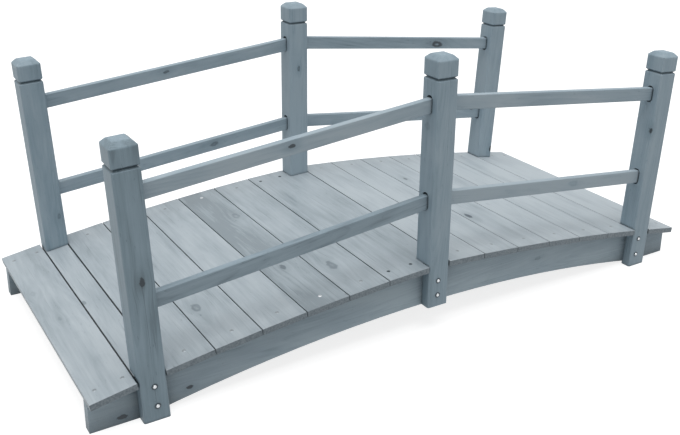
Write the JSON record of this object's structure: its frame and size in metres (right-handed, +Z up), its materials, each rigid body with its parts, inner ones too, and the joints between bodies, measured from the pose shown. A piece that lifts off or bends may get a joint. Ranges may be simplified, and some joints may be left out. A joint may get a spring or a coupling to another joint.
{
  "type": "moon bridge",
  "caption": "Small arched wooden garden bridge with a plank deck on curved stringers, grooved posts and mortised double rails on both sides.",
  "frame": {"origin": "on the ground, under the middle of the deck, midway between the two middle posts", "axes": "+X along the bridge towards the end with the wide last board, +Y across it, +Z up"},
  "size_m": [1.496, 0.67, 0.6083],
  "materials": {
    "deck_wood": "satin grey stain, worn lighter",
    "frame_wood": "satin grey stain"
  },
  "bodies": {
    "root": {"deck_board_01": "deck_wood", "deck_board_02": "deck_wood", "deck_board_03": "deck_wood", "deck_board_04": "deck_wood", "deck_board_05": "deck_wood", "deck_board_06": "deck_wood", "deck_board_07": "deck_wood", "deck_board_08": "deck_wood", "deck_board_09": "deck_wood", "deck_board_10": "deck_wood", "deck_board_11": "deck_wood", "deck_board_12": "deck_wood", "deck_board_13": "deck_wood", "deck_board_14": "deck_wood", "deck_board_15": "deck_wood", "post_left_far": "frame_wood", "post_left_near": "frame_wood", "post_middle_far": "frame_wood", "post_middle_near": "frame_wood", "post_right_far": "frame_wood", "post_right_near": "frame_wood", "rail_lower_left_far": "frame_wood", "rail_lower_left_near": "frame_wood", "rail_lower_right_far": "frame_wood", "rail_lower_right_near": "frame_wood", "rail_upper_left_far": "frame_wood", "rail_upper_left_near": "frame_wood", "rail_upper_right_far": "frame_wood", "rail_upper_right_near": "frame_wood", "stringer_far": "frame_wood", "stringer_near": "frame_wood"}
  },
  "joints": []
}
